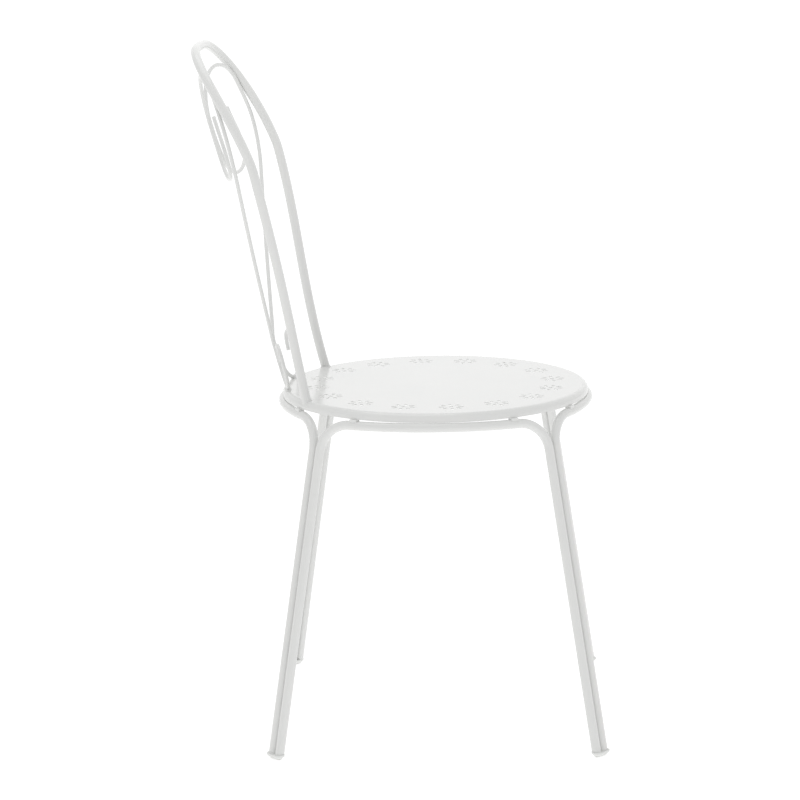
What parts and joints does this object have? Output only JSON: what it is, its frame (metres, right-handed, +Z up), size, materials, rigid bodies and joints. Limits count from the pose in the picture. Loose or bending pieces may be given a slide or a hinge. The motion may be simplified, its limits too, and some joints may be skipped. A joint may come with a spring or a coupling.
{
  "type": "bistro chair",
  "caption": "White welded steel bistro chair with a round punched seat, a hooped scroll back and splayed twin-tube legs.",
  "frame": {"origin": "on the floor, below the middle of the whole chair's box", "axes": "+Z up, -Y the way the sitter faces, +X the sitter's left"},
  "size_m": [0.465, 0.5414, 0.9063],
  "materials": {
    "coat": "satin white powder coat on steel",
    "glide": "matte white moulded plastic"
  },
  "bodies": {
    "root": {"back_hoop": "coat", "foot_glide_front_left": "glide", "foot_glide_front_right": "glide", "foot_glide_rear_left": "glide", "foot_glide_rear_right": "glide", "hoop_foot_weld_left": "coat", "hoop_foot_weld_right": "coat", "leg_frame_front": "coat", "leg_frame_left": "coat", "leg_frame_rear": "coat", "leg_frame_right": "coat", "scroll_foot_weld_left": "coat", "scroll_foot_weld_right": "coat", "scroll_hoop_weld_left": "coat", "scroll_hoop_weld_right": "coat", "scroll_rod_left": "coat", "scroll_rod_right": "coat", "scroll_weld_lower": "coat", "scroll_weld_upper": "coat", "seat_pan": "coat", "seat_spacer_front_a": "coat", "seat_spacer_front_b": "coat", "seat_spacer_left_a": "coat", "seat_spacer_left_b": "coat", "seat_spacer_rear_a": "coat", "seat_spacer_rear_b": "coat", "seat_spacer_right_a": "coat", "seat_spacer_right_b": "coat"}
  },
  "joints": []
}
